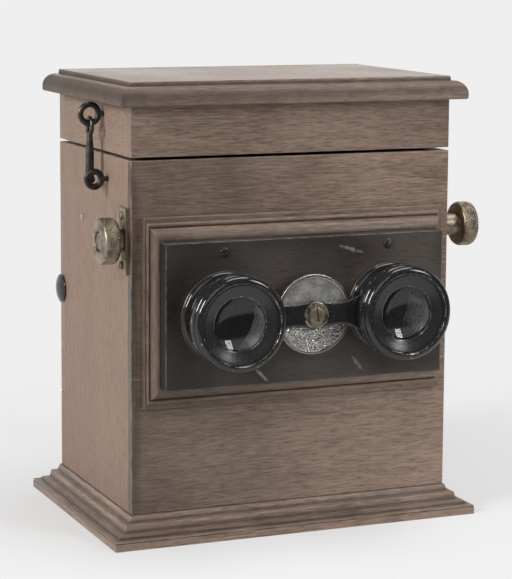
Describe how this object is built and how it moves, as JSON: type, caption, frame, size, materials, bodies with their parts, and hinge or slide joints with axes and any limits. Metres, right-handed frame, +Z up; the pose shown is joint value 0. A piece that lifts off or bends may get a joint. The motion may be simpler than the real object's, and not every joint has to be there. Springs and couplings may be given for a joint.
{
  "type": "stereoscope",
  "caption": "Wooden table stereoscope on a moulded plinth, with a hinged lid, a sliding lens panel with focusing eyepieces, side knobs and a ground-glass rear door.",
  "frame": {"origin": "middle of the underside of the case and plinth, on the table", "axes": "+Z up, +X to the viewer's right, +Y to the back: the eyepieces face -Y"},
  "size_m": [0.1544, 0.1257, 0.1718],
  "materials": {
    "case_wood": "old satin varnish",
    "dark_wood": "ebonised, satin",
    "blackened_wood": "dull black stain",
    "brass": "worn lacquer",
    "steel": "drawn",
    "iron": "blued and worn",
    "black_lacquer": "black lacquer on brass, worn edges",
    "nickel": "granular nickel plate",
    "lens_glass": "polished",
    "frosted_glass": "ground"
  },
  "bodies": {
    "case": {"plinth_mouldings": "case_wood", "bottom_board": "case_wood", "left_side": "case_wood", "right_side": "case_wood", "front_lower_board": "case_wood", "front_upper_board": "case_wood", "back_lower_board": "case_wood", "back_upper_board": "case_wood", "septum": "blackened_wood", "slide_gate": "blackened_wood", "slide_guides": "blackened_wood", "slide_rest": "blackened_wood", "carriage_runners": "case_wood", "bearing_plates": "brass", "plate_screws": "brass", "lid_hinge_case_leaves": "brass", "door_hinge_case_leaves": "brass", "hinge_pins": "brass", "case_hinge_screws": "brass", "case_eye": "iron", "gate_pins": "steel"},
    "lid": {"lid_top": "case_wood", "lid_front": "case_wood", "lid_back": "case_wood", "lid_left": "case_wood", "lid_right": "case_wood", "lid_hinge_lid_leaves": "brass", "lid_hinge_screws": "brass", "lid_eye": "iron"},
    "hook": {"hook": "iron"},
    "carriage": {"frame_mouldings": "case_wood", "lens_panel": "dark_wood", "panel_screws": "steel", "carriage_sleeve": "blackened_wood", "racks": "brass", "eyepiece_mount_left": "black_lacquer", "eyepiece_mount_right": "black_lacquer", "wheel_post": "brass"},
    "shaft": {"focus_shaft": "steel", "pinions": "brass", "knob_left": "brass", "knob_right": "brass", "knob_screws": "steel"},
    "eyepieces": {"eyepiece_left": "black_lacquer", "eyepiece_right": "black_lacquer", "lens_left": "lens_glass", "lens_right": "lens_glass", "lens_rings": "black_lacquer", "bridge": "black_lacquer", "bridge_screw": "brass", "bridge_spindle": "steel"},
    "wheel": {"focus_wheel": "nickel"},
    "door": {"door_frame": "case_wood", "ground_glass": "frosted_glass", "glass_beads": "case_wood", "door_button": "black_lacquer", "door_hinge_door_leaves": "brass", "door_hinge_screws": "brass"}
  },
  "joints": [
    {"name": "lid_hinge", "type": "hinge", "parent": "case", "child": "lid", "pos_m": [0, 0.0439, 0.1436], "axis": [-1, 0, 0], "range_deg": [0, 105]},
    {"name": "hook_swing", "type": "hinge", "parent": "lid", "child": "hook", "pos_m": [-0.0705, -0.0116, 0.1544], "axis": [1, 0, 0], "range_deg": [-7, 90]},
    {"name": "carriage_slide", "type": "slide", "parent": "case", "child": "carriage", "axis": [0, -1, 0], "range_m": [0, 0.012]},
    {"name": "focus_knob", "type": "hinge", "parent": "case", "child": "shaft", "pos_m": [0, -0.0351, 0.1131], "axis": [-1, 0, 0], "range_deg": [0, 230]},
    {"name": "eyepiece_slide", "type": "slide", "parent": "carriage", "child": "eyepieces", "axis": [0, -1, 0], "range_m": [0, 0.004]},
    {"name": "wheel_turn", "type": "hinge", "parent": "carriage", "child": "wheel", "pos_m": [0, -0.0596, 0.0857], "axis": [0, -1, 0], "range_deg": [0, 145]},
    {"name": "door_hinge", "type": "hinge", "parent": "case", "child": "door", "pos_m": [0.0664, 0.0447, 0.0837], "axis": [0, 0, -1], "range_deg": [0, 110]}
  ],
  "couplings": [
    {"joint": "focus_knob", "follows": "carriage_slide", "rad_per_m": 333.33},
    {"joint": "wheel_turn", "follows": "eyepiece_slide", "rad_per_m": 628.32}
  ]
}
